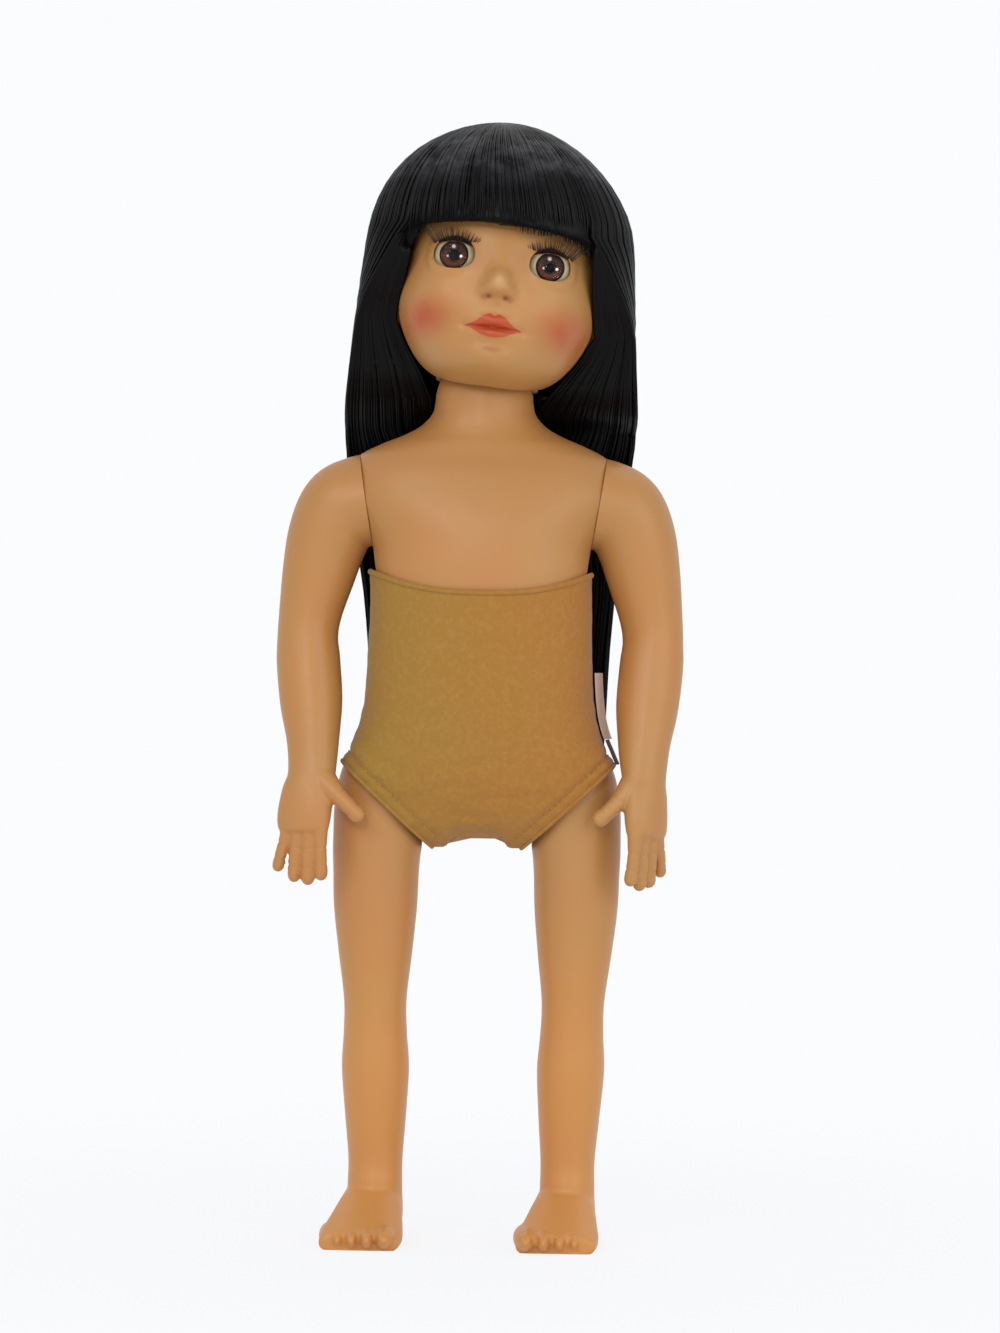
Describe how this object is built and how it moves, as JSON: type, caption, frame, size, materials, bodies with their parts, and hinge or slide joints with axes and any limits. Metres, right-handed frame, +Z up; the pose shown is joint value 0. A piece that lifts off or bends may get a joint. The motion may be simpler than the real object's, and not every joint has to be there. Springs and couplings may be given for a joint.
{
  "type": "play doll",
  "caption": "Standing girl play doll with a closing-eye vinyl head, long straight hair, vinyl limbs and a stuffed cloth body that bends at the hips.",
  "frame": {"origin": "on the floor, midway between the feet, under the middle of the body", "axes": "+Z up the body, the face looks along -Y, the doll's left side is +X"},
  "size_m": [0.166, 0.1037, 0.457],
  "materials": {
    "skin_vinyl": "soft matte vinyl",
    "hair_fibre": "straight black fibre with a soft sheen",
    "body_cloth": "fine cotton weave",
    "stuffing": "loose fibre fill",
    "eye_white": "glossy",
    "eye_brown": "glossy, streaked from the middle",
    "eye_pupil": "glossy",
    "eye_glass": "clear and polished",
    "lid_paint": "satin paint",
    "lash_fibre": "fine bristle",
    "eye_weight": "plain",
    "pin_steel": "drawn wire",
    "eye_case": "plain moulded",
    "neck_plastic": "plain moulded",
    "tie_nylon": "plain moulded",
    "pale_label": "woven ribbon, blank",
    "dark_label": "woven ribbon, blank",
    "wig_net": "elastic net"
  },
  "bodies": {
    "torso": {"shoulder_plate": "skin_vinyl", "body_tie": "tie_nylon", "torso_stuffing": "stuffing", "cloth_body": "body_cloth", "left_leg_casing": "body_cloth", "right_leg_casing": "body_cloth", "care_label": "pale_label", "size_label": "dark_label"},
    "neck_turn": {"neck_swivel": "neck_plastic"},
    "neck_tilt": {"neck_saddle": "neck_plastic"},
    "head": {"head_shell": "skin_vinyl", "head_cup": "neck_plastic", "head_stem": "neck_plastic", "left_eye_case": "eye_case", "right_eye_case": "eye_case", "left_eye_pin": "pin_steel", "right_eye_pin": "pin_steel", "wig_cap": "wig_net", "hair_crown": "hair_fibre", "hair_fringe": "hair_fibre", "hair_left": "hair_fibre", "hair_right": "hair_fibre", "hair_back": "hair_fibre", "hair_fall": "hair_fibre"},
    "left_eye": {"left_eyeball": "eye_white", "left_iris": "eye_brown", "left_pupil": "eye_pupil", "left_cornea": "eye_glass", "left_lid": "lid_paint", "left_lashes": "lash_fibre", "left_eye_weight": "eye_weight"},
    "left_arm": {"left_arm": "skin_vinyl", "left_arm_plug": "neck_plastic"},
    "left_hip": {"left_leg_tie": "tie_nylon"},
    "left_leg": {"left_leg": "skin_vinyl", "left_hip_disc": "neck_plastic"},
    "right_eye": {"right_eyeball": "eye_white", "right_iris": "eye_brown", "right_pupil": "eye_pupil", "right_cornea": "eye_glass", "right_lid": "lid_paint", "right_lashes": "lash_fibre", "right_eye_weight": "eye_weight"},
    "right_arm": {"right_arm": "skin_vinyl", "right_arm_plug": "neck_plastic"},
    "right_hip": {"right_leg_tie": "tie_nylon"},
    "right_leg": {"right_leg": "skin_vinyl", "right_hip_disc": "neck_plastic"}
  },
  "joints": [
    {"name": "head_turn", "type": "hinge", "parent": "torso", "child": "neck_turn", "pos_m": [0, 0.003, 0.343], "axis": [0, 0, 1], "range_deg": [-50, 50], "deforming": ["hair_fall", "hair_back"]},
    {"name": "head_tilt", "type": "hinge", "parent": "neck_turn", "child": "neck_tilt", "pos_m": [0, 0.003, 0.343], "axis": [0, 1, 0], "range_deg": [-18.6, 5.4], "deforming": ["hair_left", "hair_right"]},
    {"name": "head_nod", "type": "hinge", "parent": "neck_tilt", "child": "head", "pos_m": [0, 0.003, 0.343], "axis": [0.9934, 0, -0.1149], "range_deg": [-8, 10]},
    {"name": "left_eye_close", "type": "hinge", "parent": "head", "child": "left_eye", "pos_m": [0.0242, -0.03096, 0.39379], "axis": [0.9818, 0.1381, -0.1307], "range_deg": [0, 62], "deforming": ["left_lashes"]},
    {"name": "right_eye_close", "type": "hinge", "parent": "head", "child": "right_eye", "pos_m": [-0.01196, -0.03096, 0.39798], "axis": [0.9857, -0.1381, -0.097], "range_deg": [0, 62], "deforming": ["right_lashes"]},
    {"name": "left_arm_swing", "type": "hinge", "parent": "torso", "child": "left_arm", "pos_m": [0.0475, 0, 0.303], "axis": [-0.9877, 0, 0.1564], "range_deg": [-2, 300]},
    {"name": "right_arm_swing", "type": "hinge", "parent": "torso", "child": "right_arm", "pos_m": [-0.0475, 0, 0.303], "axis": [-0.9877, 0, -0.1564], "range_deg": [-2, 300]},
    {"name": "left_hip_swing", "type": "hinge", "parent": "torso", "child": "left_hip", "pos_m": [0.04, -0.013, 0.167], "axis": [-1, 0, 0], "range_deg": [-8, 80], "deforming": ["left_leg_casing"]},
    {"name": "left_leg_turn", "type": "hinge", "parent": "left_hip", "child": "left_leg", "pos_m": [0.037, 0, 0.1785], "axis": [-0.6794, 0, 0.7337], "range_deg": [-15, 15]},
    {"name": "right_hip_swing", "type": "hinge", "parent": "torso", "child": "right_hip", "pos_m": [-0.04, -0.013, 0.167], "axis": [-1, 0, 0], "range_deg": [-8, 80], "deforming": ["right_leg_casing"]},
    {"name": "right_leg_turn", "type": "hinge", "parent": "right_hip", "child": "right_leg", "pos_m": [-0.037, 0, 0.1785], "axis": [0.6794, 0, 0.7337], "range_deg": [-15, 15]}
  ]
}
